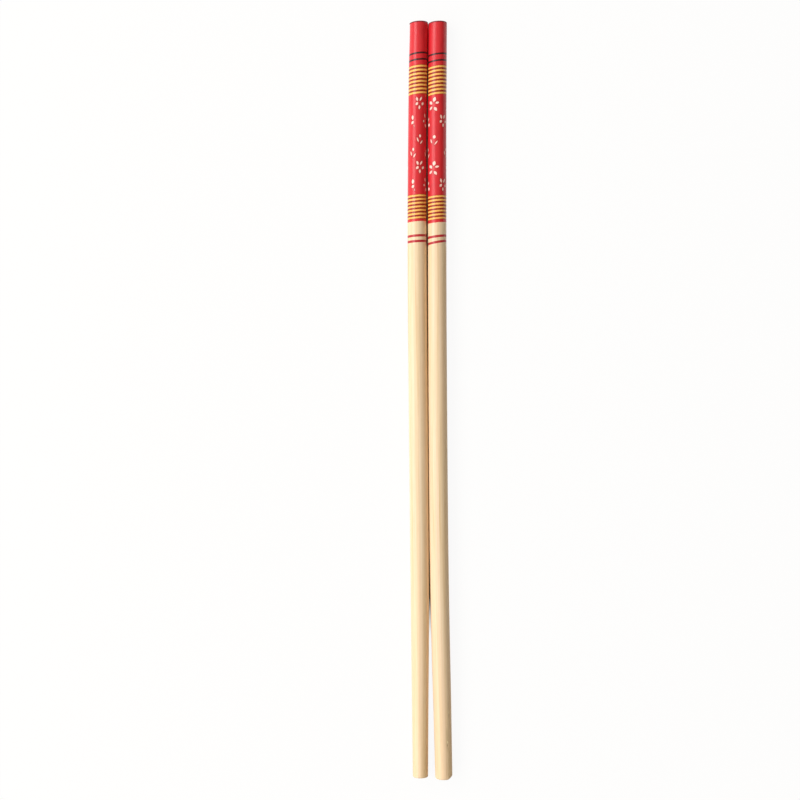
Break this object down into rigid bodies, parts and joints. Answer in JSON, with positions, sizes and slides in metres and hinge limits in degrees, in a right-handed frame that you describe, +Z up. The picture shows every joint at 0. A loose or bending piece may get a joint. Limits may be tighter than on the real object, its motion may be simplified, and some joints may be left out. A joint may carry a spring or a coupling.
{
  "type": "pair of bamboo chopsticks",
  "caption": "Two round bamboo chopsticks lying side by side, red painted grip with rings and small blossoms, plain tapered lower ends with blunt tips.",
  "frame": {"origin": "on the table, below the middle of the pair", "axes": "+Z up, +Y along the sticks towards their butt ends, +X from the left stick to the right one"},
  "size_m": [0.0143, 0.2406, 0.0062],
  "materials": {
    "printed_bamboo": "sanded bamboo with a thin clear coat, the butt third printed in red"
  },
  "bodies": {
    "root": {"left_chopstick": "printed_bamboo", "right_chopstick": "printed_bamboo"}
  },
  "joints": []
}
